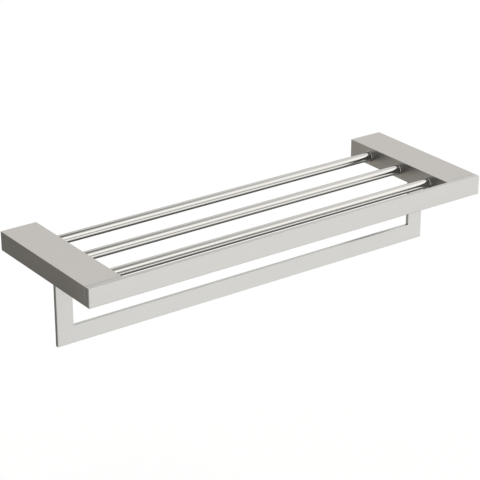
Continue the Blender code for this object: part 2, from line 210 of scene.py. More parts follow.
def make_piece(name, surfaces, material, node, grain=None):
    """One closed mesh of surfaces that share their borders. Coinciding points are merged,
    faces turned outwards, and a flat keeps its own direction right up to a rounded edge. The
    map named grain has u along the grain's axis and v, the sum of the others, across it. On a
    cut end, which faces along the grain, u and v are the other two axes."""
    starts = np.cumsum([0] + [len(points) for points, _ in surfaces[:-1]])
    points = np.concatenate([points for points, _ in surfaces])
    faces = np.concatenate([faces + start for (_, faces), start in zip(surfaces, starts)])
    used, faces = np.unique(faces, return_inverse=True)
    mesh = bpy.data.meshes.new(name)
    mesh.from_pydata(points[used].tolist(), [], faces.reshape(-1, 4).tolist())
    bm = bmesh.new()
    bm.from_mesh(mesh)
    bmesh.ops.remove_doubles(bm, verts=bm.verts, dist=NEAR)
    bmesh.ops.recalc_face_normals(bm, faces=bm.faces)
    bm.to_mesh(mesh)
    bm.free()
    mesh.shade_smooth()
    mesh.set_sharp_from_angle(angle=SHARP_ANGLE)
    mesh.materials.append(material)
    if grain is not None:
        places = np.empty((len(mesh.vertices), 3), np.float32)
        mesh.vertices.foreach_get("co", places.ravel())
        corners = np.empty(len(mesh.loops), np.int32)
        mesh.loops.foreach_get("vertex_index", corners)
        facing = np.empty((len(mesh.polygons), 3), np.float32)
        mesh.polygons.foreach_get("normal", facing.ravel())
        sizes = np.empty(len(mesh.polygons), np.int32)
        mesh.polygons.foreach_get("loop_total", sizes)
        cut_end = np.repeat(abs(facing[:, grain]) > CUT_END, sizes)[:, None]
        along, second, third = np.roll(places[corners], -grain, 1).T
        flat = np.where(cut_end, np.c_[second, third], np.c_[along, second + third])
        mesh.uv_layers.new(name="grain").uv.foreach_set("vector", flat.ravel())
    made = bpy.data.objects.new(name, mesh)
    bpy.context.scene.collection.objects.link(made)
    flats = made.modifiers.new("flats", "WEIGHTED_NORMAL")
    flats.keep_sharp = True
    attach(made, "root")
    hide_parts(node)


def add_node(tree, kind, feeds=(), **settings):
    """A shader node with its settings, and its inputs fed by values or other nodes' outputs."""
    made = tree.nodes.new("ShaderNode" + kind)
    for name, value in settings.items():
        setattr(made, name, value)
    for socket, source in dict(feeds).items():
        if isinstance(source, bpy.types.NodeSocket):
            tree.links.new(source, made.inputs[socket])
        else:
            made.inputs[socket].default_value = source
    return made


def bare_metal(name, roughness):
    """A material of plain metal, and its tree and shader."""
    material = bpy.data.materials.new(name)
    material.use_nodes = True
    shader = material.node_tree.nodes["Principled BSDF"]
    shader.inputs["Metallic"].default_value = 1
    shader.inputs["Roughness"].default_value = roughness
    return material, material.node_tree, shader


def blend(tree, colour, toward, share):
    """A colour, mixed with toward by share."""
    mixed = add_node(tree, "Mix", {"Factor": share, "A": colour, "B": toward}, data_type="RGBA")
    return mixed.outputs["Result"]


def lay_on(tree, shader, colour, gloss, bump):
    """Feeds a metal's colour, roughness and normal."""
    for name, source in (("Base Color", colour), ("Roughness", gloss), ("Normal", bump)):
        tree.links.new(source, shader.inputs[name])


def cast_skin():
    """Cast aluminium: a grainy skin with low waves, in two greys, rough and slightly uneven."""
    material, tree, shader = bare_metal("cast_aluminium_skin", 0.5)
    place = add_node(tree, "TexCoord").outputs["Object"]
    grain = add_node(tree, "TexNoise", {"Vector": place, "Scale": 2600, "Detail": 3}).outputs["Fac"]
    waves = add_node(tree, "TexNoise", {"Vector": place, "Scale": 160, "Detail": 2}).outputs["Fac"]
    both = add_node(tree, "Math", {0: grain, 1: waves, 2: 0.25}, operation="MULTIPLY_ADD").outputs[0]
    tone = add_node(tree, "MapRange", {"Value": both, "From Min": 0.35, "From Max": 0.7}).outputs[0]
    colour = blend(tree, (*CAST_DARK, 1), (*CAST_LIGHT, 1), tone)
    gloss = add_node(tree, "MapRange", {"Value": waves, "To Min": 0.42, "To Max": 0.62}).outputs[0]
    bump = add_node(tree, "Bump", {"Strength": 0.5, "Distance": 0.00006, "Height": both}).outputs[0]
    lay_on(tree, shader, colour, gloss, bump)
    return material


cast_aluminium = cast_skin()


def make_wall_mount(word, side):
    """Block with round edges but for those at the wall, bored for its screws."""
    axes = ((side, 0, 0), (0, 0, 1), (0, 1, 0))
    wall_fields = [around(x, WALL_SCREW_FIELD) for x in WALL_SCREWS]
    low, high = MOUNT_WIDTH[0] + MOUNT_EDGE, MOUNT_WIDTH[1] - MOUNT_EDGE
    us = stations(low, high, wall_fields + [around(HOUSING_MIDDLE, TAP_FIELD)])
    vs = stations(MOUNT_HEIGHT[0] + MOUNT_EDGE, MOUNT_HEIGHT[1] - MOUNT_EDGE, [around(0, WALL_SCREW_FIELD)])
    tap_stretch = around(-MOUNT_DEPTH / 2, TAP_FIELD)
    ys = stations(MOUNT_EDGE - MOUNT_DEPTH, 0, [tap_stretch])
    outline = box_outline(us, vs, MOUNT_EDGE)
    rows = np.r_[np.c_[ys[:0:-1], 0 * ys[1:]], round_end(-MOUNT_DEPTH, MOUNT_EDGE, -1)]
    skin = carry(outline, rows, axes)
    tap = field_on(outline, rows, (0, -1), around(HOUSING_MIDDLE, TAP_FIELD), tap_stretch)
    band_rear, rear = end_sheet(outline, us, vs, 0, 0, axes)
    band_front, front = end_sheet(outline, us, vs, MOUNT_EDGE, -MOUNT_DEPTH, axes)
    fields = [(*span(vs, around(0, WALL_SCREW_FIELD)), *span(us, field)) for field in wall_fields]
    surfaces = [
        weave(skin, True, [tap]), weave(band_rear, True), weave(band_front, True),
        weave(rear, fields=fields), weave(front, fields=fields),
    ]
    sunk = sunk_rings(WALL_SCREW_SINK, MOUNT_DEPTH)
    for x, field in zip(WALL_SCREWS, fields):
        both = field_rim(front, field), field_rim(rear, field)
        middle = (side * x, -MOUNT_DEPTH, 0)
        surfaces.append(hole(*both, middle, ((1, 0, 0), (0, 0, 1)), (0, 1, 0), WALL_SCREW_HOLE, sunk))
    blind = blind_rings(TAP_HOLE, TAP_DEPTH, TAP_POINT)
    middle = (side * HOUSING_MIDDLE, -MOUNT_DEPTH / 2, MOUNT_HEIGHT[0])
    flat = ((1, 0, 0), (0, 1, 0))
    surfaces.append(hole(field_rim(skin, tap), None, middle, flat, (0, 0, 1), TAP_HOLE, blind))
    name = word + "_wall_mount"
    make_piece(name + "_block", surfaces, cast_aluminium, name)


for word, side in SIDES.items():
    make_wall_mount(word, side)

# Carriers
# The aluminium casting inside each housing that the rods and the towel bar's tab seat in.
# Only glimpses of them show, through the slot and the screw holes, in the same cast skin.
def dress(node, material):
    """Gives a material to a solid that keeps its own mesh."""
    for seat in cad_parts[node].material_slots:
        seat.link = "OBJECT"
        seat.material = material


for word in SIDES:
    dress(word + "_carrier", cast_aluminium)

# Housings
# Box sections of satin brushed stainless steel, 2 mm thick, with the grain along them. The
# front is closed by the wall that the rail is screwed to, the rear is open towards the wall,
# and the screws and the towel bar's tab go in from below.
HOUSING_WIDTH = (0.250, 0.300)
HOUSING_HEIGHT = (-0.0127, 0.0127)
HOUSING_FRONT = -0.1967
HOUSING_WALL = 0.002
HOUSING_FRONT_WALL = 0.003
HOUSING_EDGE = 0.0006
HOUSING_CORNER = 0.0005
HOUSING_RIM = 0.0003
ROD_DISTANCES = {"rear": 0.0401, "middle": 0.10025, "front": 0.1604}
ROD_HEIGHT = 0.0
ROD_HOLE = 0.00655
ROD_HOLE_FIELD = 0.0074
ROD_SCREW_AT = 0.2563
CARRIER_SCREW_AT = 0.25745
CARRIER_SCREW_DISTANCES = {"rear": 0.070175, "front": 0.130325}
CARRIER_SCREW_HOLE = 0.0018
CARRIER_SCREW_SINK = 0.0013
CARRIER_SCREW_FIELD = 0.00465
SLOT_MIDDLE, SLOT_DISTANCE = 0.2765, 0.1055
SLOT_HALF = (0.0088, 0.0028)
SLOT_FIELD = (0.0105, 0.0045)
RAIL_SCREW_HOLE = 0.0023
RAIL_SCREW_FIELD = 0.0029
EDGE_BOW = 0.3
HOUSING_GRAIN, HOUSING_STEEL = (3600, 22, 3600), (0.700, 0.684, 0.659)
BRUSHED_GLOSS = (0.28, 0.34)
BROAD = 0.16
MARKED = (0.98, 1.02)
ANISOTROPY, QUARTER_TURN = 0.8, 0.25


def grain_group():
    """Brush marks along one direction: the place times Stretch, so that noise is drawn out
    along the grain. Streaks are the broad bands, Lines the fine marks, both about 0.5."""
    tree = bpy.data.node_groups.new("brushed_grain", "ShaderNodeTree")
    tree.interface.new_socket("Stretch", in_out="INPUT", socket_type="NodeSocketVector")
    for output in ("Streaks", "Lines"):
        tree.interface.new_socket(output, in_out="OUTPUT", socket_type="NodeSocketFloat")
    given = tree.nodes.new("NodeGroupInput").outputs["Stretch"]
    result = tree.nodes.new("NodeGroupOutput")
    place = add_node(tree, "TexCoord").outputs["Object"]
    drawn = add_node(tree, "VectorMath", {0: place, 1: given}, operation="MULTIPLY").outputs[0]
    broad = add_node(tree, "VectorMath", {0: drawn, "Scale": BROAD}, operation="SCALE").outputs[0]
    lines = add_node(tree, "TexNoise", {"Vector": drawn, "Scale": 1, "Detail": 3, "Roughness": 0.7})
    streaks = add_node(tree, "TexNoise", {"Vector": broad, "Scale": 1, "Detail": 2})
    tree.links.new(streaks.outputs["Fac"], result.inputs["Streaks"])
    tree.links.new(lines.outputs["Fac"], result.inputs["Lines"])
    return tree


brushed_grain = grain_group()


def tones(colour):
    """The darker and the lighter colour that a metal's marks go between."""
    return [(*(share * c for c in colour), 1) for share in MARKED]


def brushed_steel(name, stretch, colour):
    """Brushed stainless steel: the grain lightens and darkens the metal a little, varies its
    gloss, and stands up as shallow grooves."""
    smooth, rough = BRUSHED_GLOSS
    material, tree, shader = bare_metal(name, smooth)
    grain = add_node(tree, "Group", {"Stretch": stretch}, node_tree=brushed_grain)
    lines, streaks = grain.outputs["Lines"], grain.outputs["Streaks"]
    marks = add_node(tree, "Math", {0: lines, 1: 0.6, 2: streaks}, operation="MULTIPLY_ADD").outputs[0]
    tone = add_node(tree, "MapRange", {"Value": marks, "From Min": 0.5, "From Max": 1.1}).outputs[0]
    gloss = add_node(tree, "MapRange", {"Value": tone, "To Min": smooth, "To Max": rough}).outputs[0]
    groove = add_node(tree, "Bump", {"Strength": 0.15, "Distance": 0.00001, "Height": lines}).outputs[0]
    lay_on(tree, shader, blend(tree, *tones(colour), tone), gloss, groove)
    shader.inputs["Anisotropic"].default_value = ANISOTROPY
    shader.inputs["Anisotropic Rotation"].default_value = QUARTER_TURN
    tangent = add_node(tree, "Tangent", direction_type="UV_MAP", uv_map="grain")
    tree.links.new(tangent.outputs[0], shader.inputs["Tangent"])
    return material


housing_steel = brushed_steel("brushed_steel_housing", HOUSING_GRAIN, HOUSING_STEEL)


def rims(edge, depth):
    """Rings of a hole through a wall, with both its edges broken: (grow, depth)."""
    bow = EDGE_BOW * edge
    return (edge, 0), (bow, bow), (0, edge), (0, depth - edge), (edge, depth)


def make_housing(word, side):
    """Outer and inner skin carried along the housing, joined by a rim round the open rear end
    and by every hole, each skin closed by its own sheet in front."""
    axes = ((side, 0, 0), (0, 0, 1), (0, 1, 0))
    rail_across = [around(x, RAIL_SCREW_FIELD) for x in WALL_SCREWS]
    across = rail_across + [
        around(ROD_SCREW_AT, TAP_FIELD), around(CARRIER_SCREW_AT, CARRIER_SCREW_FIELD),
        around(SLOT_MIDDLE, SLOT_FIELD[0]), around(HOUSING_MIDDLE, TAP_FIELD),
    ]
    up = [around(ROD_HEIGHT, ROD_HOLE_FIELD), around(0, RAIL_SCREW_FIELD)]
    back = [around(-MOUNT_DEPTH / 2, TAP_FIELD), around(-SLOT_DISTANCE, SLOT_FIELD[1])]
    back += [around(-d, CARRIER_SCREW_FIELD) for d in CARRIER_SCREW_DISTANCES.values()]
    back += [around(-d, size) for d in ROD_DISTANCES.values() for size in (TAP_FIELD, ROD_HOLE_FIELD)]
    us = stations(HOUSING_WIDTH[0] + HOUSING_EDGE, HOUSING_WIDTH[1] - HOUSING_EDGE, across)
    vs = stations(HOUSING_HEIGHT[0] + HOUSING_EDGE, HOUSING_HEIGHT[1] - HOUSING_EDGE, up)
    ys = stations(HOUSING_FRONT, 0, back)[-2:0:-1]
    inset = HOUSING_WALL + HOUSING_CORNER
    us_in = np.r_[HOUSING_WIDTH[0] + inset, us[1:-1], HOUSING_WIDTH[1] - inset]
    vs_in = np.r_[HOUSING_HEIGHT[0] + inset, vs[1:-1], HOUSING_HEIGHT[1] - inset]
    outer, inner = box_outline(us, vs, HOUSING_EDGE), box_outline(us_in, vs_in, HOUSING_CORNER)
    rear = round_end(0, HOUSING_RIM, 1)[::-1]
    straight = np.c_[ys, 0 * ys]
    rows = np.r_[rear, straight, round_end(HOUSING_FRONT, HOUSING_RIM, -1)]
    bottom = HOUSING_FRONT + HOUSING_FRONT_WALL
    rows_in = np.r_[rear * (1, -1), straight, [(bottom, 0)]]
    skin, lining = carry(outer, rows, axes), carry(inner, rows_in, axes)
    band_out, sheet_out = end_sheet(outer, us, vs, HOUSING_RIM, HOUSING_FRONT, axes)
    band_in, sheet_in = end_sheet(inner, us_in, vs_in, 0, bottom, axes)

    edges = rims(HOLE_EDGE, HOUSING_WALL)
    sunk = sunk_rings(CARRIER_SCREW_SINK, HOUSING_WALL)
    below = [(ROD_SCREW_AT, d, TAP_FIELD, TAP_HOLE, edges, ROUND) for d in ROD_DISTANCES.values()]
    below += [(HOUSING_MIDDLE, MOUNT_DEPTH / 2, TAP_FIELD, TAP_HOLE, edges, ROUND)]
    below += [
        (CARRIER_SCREW_AT, d, CARRIER_SCREW_FIELD, CARRIER_SCREW_HOLE, sunk, ROUND)
        for d in CARRIER_SCREW_DISTANCES.values()
    ]
    below += [(SLOT_MIDDLE, SLOT_DISTANCE, SLOT_FIELD, SLOT_HALF, edges, SLOTTED)]
    surfaces, fields, fields_in = [], [], []
    for x, distance, size, half, rings, power in below:
        wide, long = np.broadcast_to(size, 2)
        spot = (0, -1), around(x, wide), around(-distance, long)
        fields.append(field_on(outer, rows, *spot))
        fields_in.append(field_on(inner, rows_in, *spot))
        both = field_rim(skin, fields[-1]), field_rim(lining, fields_in[-1])
        middle = (side * x, -distance, HOUSING_HEIGHT[0])
        surfaces.append(hole(*both, middle, ((1, 0, 0), (0, 1, 0)), (0, 0, 1), half, rings, power))
    for distance in ROD_DISTANCES.values():
        spot = (-1, 0), around(ROD_HEIGHT, ROD_HOLE_FIELD), around(-distance, ROD_HOLE_FIELD)
        fields.append(field_on(outer, rows, *spot))
        fields_in.append(field_on(inner, rows_in, *spot))
        both = field_rim(skin, fields[-1]), field_rim(lining, fields_in[-1])
        middle = (side * HOUSING_WIDTH[0], -distance, ROD_HEIGHT)
        surfaces.append(hole(*both, middle, ((0, 1, 0), (0, 0, 1)), (side, 0, 0), ROD_HOLE, edges))
    front_fields = [(*span(vs, around(0, RAIL_SCREW_FIELD)), *span(us, field)) for field in rail_across]
    for x, field in zip(WALL_SCREWS, front_fields):
        both = field_rim(sheet_out, field), field_rim(sheet_in, field)
        middle, rings = (side * x, HOUSING_FRONT, 0), rims(HOLE_EDGE, HOUSING_FRONT_WALL)
        surfaces.append(hole(*both, middle, ((1, 0, 0), (0, 0, 1)), (0, 1, 0), RAIL_SCREW_HOLE, rings))
    surfaces += [
        weave(skin, True, fields), weave(lining, True, fields_in),
        weave(np.stack([skin[0], lining[0]]), True),
        weave(band_out, True), weave(sheet_out, fields=front_fields),
        weave(band_in, True), weave(sheet_in, fields=front_fields),
    ]
    name = word + "_housing"
    make_piece(name + "_box", surfaces, housing_steel, name, grain=1)


for word, side in SIDES.items():
    make_housing(word, side)

# Front rail
# A flat bar of the same brushed steel across the front of both housings, flush with their
# tops, undersides and outer sides. Its grain runs along it, and four screws from inside the
# housings go into blind holes in its back.
RAIL_HALF = 0.300
RAIL_FRONT, RAIL_BACK = -0.205, -0.197
RAIL_EDGE, RAIL_BACK_EDGE = 0.0006, 0.0024
RAIL_RUN_OUT = (0.2485, 0.2505)
RAIL_BACK_STEPS = 8
RAIL_HOLE_DEPTH, RAIL_HOLE_POINT = 0.006, 0.0008
RAIL_GRAIN, RAIL_STEEL = (20, 3600, 3600), (0.720, 0.717, 0.703)

rail_steel = brushed_steel("brushed_steel_rail", RAIL_GRAIN, RAIL_STEEL)


def make_rail():
    """A box section carried from one end to the other. Its back corners are rounded wide, but
    where they lie against the housings they are drawn out to (1, 1) * (wide - fine) + fine *
    (cos a, sin a), by a share that rises evenly over the run-out."""
    axes = ((0, 1, 0), (0, 0, 1), (1, 0, 0))
    us = np.array([RAIL_FRONT + RAIL_EDGE, RAIL_BACK - RAIL_BACK_EDGE])
    screw_stretch = around(0, RAIL_SCREW_FIELD)
    vs = stations(HOUSING_HEIGHT[0] + RAIL_BACK_EDGE, HOUSING_HEIGHT[1] - RAIL_BACK_EDGE, [screw_stretch])
    places = [side * x for side in SIDES.values() for x in WALL_SCREWS]
    run_outs = [sorted(side * x for x in RAIL_RUN_OUT) for side in SIDES.values()]
    xs = stations(-RAIL_HALF, RAIL_HALF, [around(x, RAIL_SCREW_FIELD) for x in places] + run_outs)[1:-1]
    outline = box_outline(us, vs, RAIL_BACK_EDGE, RAIL_BACK_STEPS, low=RAIL_EDGE)
    left, right = round_end(-RAIL_HALF, RAIL_EDGE, -1)[::-1], round_end(RAIL_HALF, RAIL_EDGE, 1)
    rows = np.r_[left, np.c_[xs, 0 * xs], right]
    points, out = outline
    back_corner = (out[:, 0] > NEAR) & (abs(out[:, 1]) > NEAR)
    drawn_out = (RAIL_BACK_EDGE - RAIL_EDGE) * back_corner[:, None] * (np.sign(out) - out)
    share = np.interp(abs(rows[:, 0]), RAIL_RUN_OUT, (0, 1))[:, None, None]
    skin = put(points + share * drawn_out - rows[:, 1, None, None] * out, rows[:, 0, None], axes)
    fields = [field_on(outline, rows, (1, 0), screw_stretch, around(x, RAIL_SCREW_FIELD)) for x in places]
    surfaces = [weave(skin, True, fields)]
    blind = blind_rings(RAIL_SCREW_HOLE, RAIL_HOLE_DEPTH, RAIL_HOLE_POINT)
    for x, field in zip(places, fields):
        middle, flat = (x, RAIL_BACK, 0), ((1, 0, 0), (0, 0, 1))
        surfaces.append(hole(field_rim(skin, field), None, middle, flat, (0, -1, 0), RAIL_SCREW_HOLE, blind))
    for end in (-RAIL_HALF, RAIL_HALF):
        band, sheet = end_sheet((points + drawn_out, out), us, vs, RAIL_EDGE, end, axes)
        surfaces += [weave(band, True), weave(sheet)]
    make_piece("front_rail_bar", surfaces, rail_steel, "front_rail", grain=0)


make_rail()

# Shelf rods, their collars and plugs
# Three tubes of mirror-polished stainless steel whose ends seat in the carriers. A thin
# polished ring closes the gap round each rod where it enters a housing. Its steel is painted
# paler than the rods' steel, as a painted highlight for the light line that it shows. A plug in
# each end keeps the set screw from crushing the tube.
ROD_RADIUS, ROD_BORE = 0.00625, 0.00525
ROD_REACH = 0.2603
ROD_CHAMFER = 0.0003
COLLAR_BORE, COLLAR_RADIUS = 0.00655, 0.0075
COLLAR_FACES = (0.2497, 0.2484)
COLLAR_EDGE, COLLAR_STEPS = 0.0006, 6
TURNED_SIDES = 128
# The rings' colour is paler than the rods' polished steel: a painted highlight.
POLISHED, HIGHLIGHT_PALE = (0.725, 0.718, 0.700), (0.93, 0.92, 0.90)
MIRROR_GLOSS, SATIN_GLOSS = (0.075, 0.115), (0.15, 0.19)
TUBE_GRAIN = (5200, 90, 90)


def polish(name, colour, smooth, rough):
    """Polished steel: nearly even, with faint haze in patches and hair-thin polishing marks
    round the tube, which lie in planes across its length."""
    material, tree, shader = bare_metal(name, smooth)
    marks = add_node(tree, "Group", {"Stretch": TUBE_GRAIN}, node_tree=brushed_grain).outputs
    place = add_node(tree, "TexCoord").outputs["Object"]
    haze = add_node(tree, "TexNoise", {"Vector": place, "Scale": 28, "Detail": 4}).outputs["Fac"]
    gloss = add_node(tree, "MapRange", {
        "Value": haze, "From Min": 0.3, "From Max": 0.75, "To Min": smooth, "To Max": rough,
    })
    bump = add_node(tree, "Bump", {"Strength": 0.12, "Distance": 0.000004, "Height": marks["Lines"]})
    colour = blend(tree, *tones(colour), marks["Streaks"])
    lay_on(tree, shader, colour, gloss.outputs[0], bump.outputs[0])
    return material


polished_steel = polish("polished_steel_mirror", POLISHED, *MIRROR_GLOSS)
# The rings' steel is the rods' polished steel painted paler, as a painted highlight on each ring.
collar_steel_painted_highlight = polish("polished_steel_satin_painted_highlight", HIGHLIGHT_PALE, *SATIN_GLOSS)


def turned(section, middle):
    """A ring-shaped section of (radius, x) points turned round a line along X: x, middle +
    radius * (cos t, sin t)."""
    t = np.arange(TURNED_SIDES) * 2 * pi / TURNED_SIDES
    section = np.asarray([*section, section[0]])
    radius, x = section[:, 0, None], section[:, 1, None]
    grid = np.stack([
        x + 0 * t, middle[0] + radius * np.cos(t), middle[1] + radius * np.sin(t),
    ], -1)
    return weave(grid, closed=True)


def make_rod(place, distance):
    """A tube with both ends chamfered."""
    half = [
        (ROD_BORE, ROD_REACH), (ROD_RADIUS - ROD_CHAMFER, ROD_REACH), (ROD_RADIUS, ROD_REACH - ROD_CHAMFER)
    ]
    section = half + [(radius, -x) for radius, x in reversed(half)]
    surface = turned(section, (-distance, ROD_HEIGHT))
    make_piece(place + "_rod_tube", [surface], polished_steel, place + "_rod")


def make_collar(word, side, place, distance):
    """A ring whose free end is rounded over: (radius, x) there is its middle + the edge's size
    * (cos a, -sin a)."""
    (foot, face), edge = COLLAR_FACES, COLLAR_EDGE
    a = np.linspace(0, pi / 2, COLLAR_STEPS + 1)
    rounded = np.c_[COLLAR_RADIUS - edge + edge * np.cos(a), face + edge - edge * np.sin(a)]
    section = [(COLLAR_BORE, foot), (COLLAR_RADIUS, foot), *rounded, (COLLAR_BORE, face)]
    surface = turned([(radius, side * x) for radius, x in section], (-distance, ROD_HEIGHT))
    name = "_".join((word, place, "collar"))
    make_piece(name + "_ring", [surface], collar_steel_painted_highlight, name)


for place, distance in ROD_DISTANCES.items():
    make_rod(place, distance)
    for word, side in SIDES.items():
        make_collar(word, side, place, distance)

# Towel bar
# One plate of brushed steel, 5 mm thick, cut as a U with sharp inner corners. A tab on each
# leg goes up through the slot in a housing's underside, where a screw locks it.
PLATE_FRONT, PLATE_BACK = -0.108, -0.103
PLATE_EDGE, PLATE_STEPS = 0.0004, 3
LEG_OUTER, LEG_INNER = 0.288, 0.265
TAB_OUTER, TAB_INNER = 0.285, 0.268
PLATE_BOTTOM, BAR_TOP, LEG_TOP, TAB_TOP = -0.1053, -0.0823, -0.0130, 0.0057
LOCK_SCREW_AT, LOCK_SCREW_HEIGHT = 0.2765, -0.0025
PLATE_GRAIN, PLATE_STEEL = (18, 3600, 3600), (0.724, 0.728, 0.716)

plate_steel = brushed_steel("brushed_steel_plate", PLATE_GRAIN, PLATE_STEEL)


def make_towel_bar():
    """The face is a grid of stations with only the fields of the U kept. Each border point
    moves outward by m = (sign of the border faces' x, sign of their z), times grow, and back
    by depth, so that the rim goes round all corners with mitres."""
    e = PLATE_EDGE
    holes = [around(side * LOCK_SCREW_AT, RAIL_SCREW_FIELD) for side in SIDES.values()]
    hole_up = around(LOCK_SCREW_HEIGHT, RAIL_SCREW_FIELD)
    breaks = np.array([LEG_OUTER - e, TAB_OUTER - e, TAB_INNER + e, LEG_INNER + e])
    xs = np.union1d(np.r_[-breaks, breaks], stations(-LEG_OUTER + e, LEG_OUTER - e, holes))
    levels = (PLATE_BOTTOM + e, BAR_TOP - e, LEG_TOP - e, TAB_TOP - e)
    zs = np.union1d(levels, stations(levels[0], levels[-1], [hole_up]))
    x, z = np.meshgrid((xs[1:] + xs[:-1]) / 2, (zs[1:] + zs[:-1]) / 2)
    leg = (abs(x) > LEG_INNER) & (z < LEG_TOP)
    tab = (abs(x) > TAB_INNER) & (abs(x) < TAB_OUTER)
    kept = (z < BAR_TOP) | leg | tab

    filled = np.pad(kept, 1).astype(int)
    upright = filled[1:-1, :-1] - filled[1:-1, 1:]
    level = filled[:-1, 1:-1] - filled[1:, 1:-1]
    m_x = np.sign(np.pad(upright, ((1, 0), (0, 0))) + np.pad(upright, ((0, 1), (0, 0))))
    m_z = np.sign(np.pad(level, ((0, 0), (1, 0))) + np.pad(level, ((0, 0), (0, 1))))
    a = np.linspace(0, pi / 2, PLATE_STEPS + 1)
    grow = np.r_[e * np.sin(a), e * np.sin(a[::-1])]
    thick = PLATE_BACK - PLATE_FRONT
    depth = np.r_[e * (1 - np.cos(a)), thick - e * (1 - np.cos(a[::-1]))]
    grid = np.stack(np.meshgrid(xs, zs), -1)
    grow, depth = grow[:, None, None], depth[:, None, None]
    layers = np.stack([
        grid[..., 0] + grow * m_x, PLATE_FRONT + depth + 0 * grid[None, ..., 0], grid[..., 1] + grow * m_z,
    ], -1)
    index = np.arange(layers[..., 0].size).reshape(layers.shape[:3])
    near, far = index[:-1], index[1:]
    rim_up = np.stack([near[:, :-1], near[:, 1:], far[:, 1:], far[:, :-1]], -1)[:, upright != 0]
    rim_on = quads(near, far)[:, level != 0]
    fields = [(*span(zs, hole_up), *span(xs, stretch)) for stretch in holes]
    for top, bottom, first, last in fields:
        kept[top:bottom, first:last] = False
    faces = [quads(face[:-1], face[1:])[kept] for face in (index[0], index[-1])]
    faces += [rim_up.reshape(-1, 4), rim_on.reshape(-1, 4)]
    surfaces = [(layers.reshape(-1, 3), np.concatenate(faces))]
    for side, field in zip(SIDES.values(), fields):
        both = field_rim(layers[0], field), field_rim(layers[-1], field)
        middle, flat = (side * LOCK_SCREW_AT, PLATE_FRONT, LOCK_SCREW_HEIGHT), ((1, 0, 0), (0, 0, 1))
        surfaces.append(hole(*both, middle, flat, (0, 1, 0), RAIL_SCREW_HOLE, rims(HOLE_EDGE, thick)))
    make_piece("towel_bar_plate", surfaces, plate_steel, "towel_bar", grain=0)


make_towel_bar()

# Screws
# Plain stainless steel screws with metric threads and hexagon sockets: set screws on the rods
# and wall mounts and countersunk ones in the carriers, all from below, and cap screws that
# hold the rail and lock the towel bar's tabs. The rods' plugs are of the same steel.
SET_RADIUS, SET_PITCH, SET_KEY = 0.0025, 0.0008, 0.0025
SET_BOTTOM = -0.0122
ROD_SCREW_LENGTH, MOUNT_SCREW_LENGTH = 0.00565, 0.008
CAP_RADIUS, CAP_PITCH, CAP_KEY = 0.002, 0.0007, 0.003
CAP_HEAD, CAP_HEAD_HEIGHT = 0.0035, 0.004
RAIL_SCREW_SEAT, RAIL_SCREW_LENGTH = 0.1934, 0.0083
LOCK_SCREW_SEAT, LOCK_SCREW_LENGTH = 0.0924, 0.0229
SUNK_RADIUS, SUNK_PITCH, SUNK_KEY = 0.0015, 0.0005, 0.002
SUNK_HEAD, SUNK_LENGTH = 0.0028, 0.008
SUNK_RIM, SUNK_NECK, CAP_NECK = 0.00008, 0.0002, 0.0003
SCREW_TIP = 0.0004
CUP_OUTER, CUP_INNER, CUP_DEPTH = 0.0014, 0.0012, 0.0006
SOCKET_SHARE, SUNK_SOCKET_SHARE = 0.4, 0.25
SOCKET_POINT, SOCKET_FLOOR, SOCKET_ROOT = 0.3, 0.97, 0.05
SOCKET_WIDENED, SOCKET_BROKEN = 0.0001, 0.00012
TOOTH_STEPS = (0, 1 / 8, 7 / 16, 11 / 16)
TOOTH_HEIGHT = 0.54
SCREW_STEPS = 48
SCREW_DARK, SCREW_LIGHT = (0.46, 0.46, 0.47), (0.62, 0.62, 0.63)


def screw_metal():
    """Plain stainless steel, turned and rolled: slightly darker than the plate, with small
    random scuffs."""
    material, tree, shader = bare_metal("screw_steel_turned", 0.3)
    place = add_node(tree, "TexCoord").outputs["Object"]
    scuffs = add_node(tree, "TexNoise", {"Vector": place, "Scale": 1900, "Detail": 4, "Distortion": 0.6})
    scuffs = scuffs.outputs["Fac"]
    colour = blend(tree, (*SCREW_DARK, 1), (*SCREW_LIGHT, 1), scuffs)
    gloss = add_node(tree, "MapRange", {"Value": scuffs, "To Min": 0.2, "To Max": 0.42}).outputs[0]
    bump = add_node(tree, "Bump", {"Strength": 0.2, "Distance": 0.00001, "Height": scuffs}).outputs[0]
    lay_on(tree, shader, colour, gloss, bump)
    return material


screw_steel = screw_metal()


def thread(radius, start, end, pitch):
    """The tooth carried along a helix: at the turn t and step s of the tooth, height = start +
    pitch * (s + t), cut off at both ends, and radius less the tooth's height in the groove,
    which runs out over the last turn. The last column meets the first one tooth on."""
    turns = int(np.ceil((end - start) / pitch)) + 1
    step = (np.arange(-1, turns)[:, None] + TOOTH_STEPS).reshape(-1, 1)
    groove = np.tile((0, 0, 1, 1), turns + 1)[:, None]
    t = np.linspace(0, 1, SCREW_STEPS + 1)
    height = np.clip(start + pitch * (step + t), start, end)
    run_out = np.clip(np.minimum(height - start, end - height) / pitch, 0, 1)
    return radius - TOOTH_HEIGHT * pitch * groove * run_out, height, 2 * pi * t


def turned_rows(rows):
    """Rows (radius, height, share of hexagon) turned round: radius, or for a hexagon radius /
    cos(angle from the middle of its side), where radius is half the key's width."""
    t = np.arange(SCREW_STEPS) * 2 * pi / SCREW_STEPS
    radius, height, share = np.array(rows).T[..., None]
    hexagon = 1 / np.cos((t + pi / 6) % (pi / 3) - pi / 6)
    return radius * (1 + share * (hexagon - 1)), height + 0 * t, t


def socket(key, depth):
    """Rows of the key's socket, from its drilled point out to its broken edge."""
    half = key / 2
    return [
        (0, depth + SOCKET_POINT * half, 1), (SOCKET_FLOOR * half, depth, 1),
        (half, depth - SOCKET_ROOT * half, 1), (half, SOCKET_BROKEN, 1), (half + SOCKET_WIDENED, 0, 1),
    ]


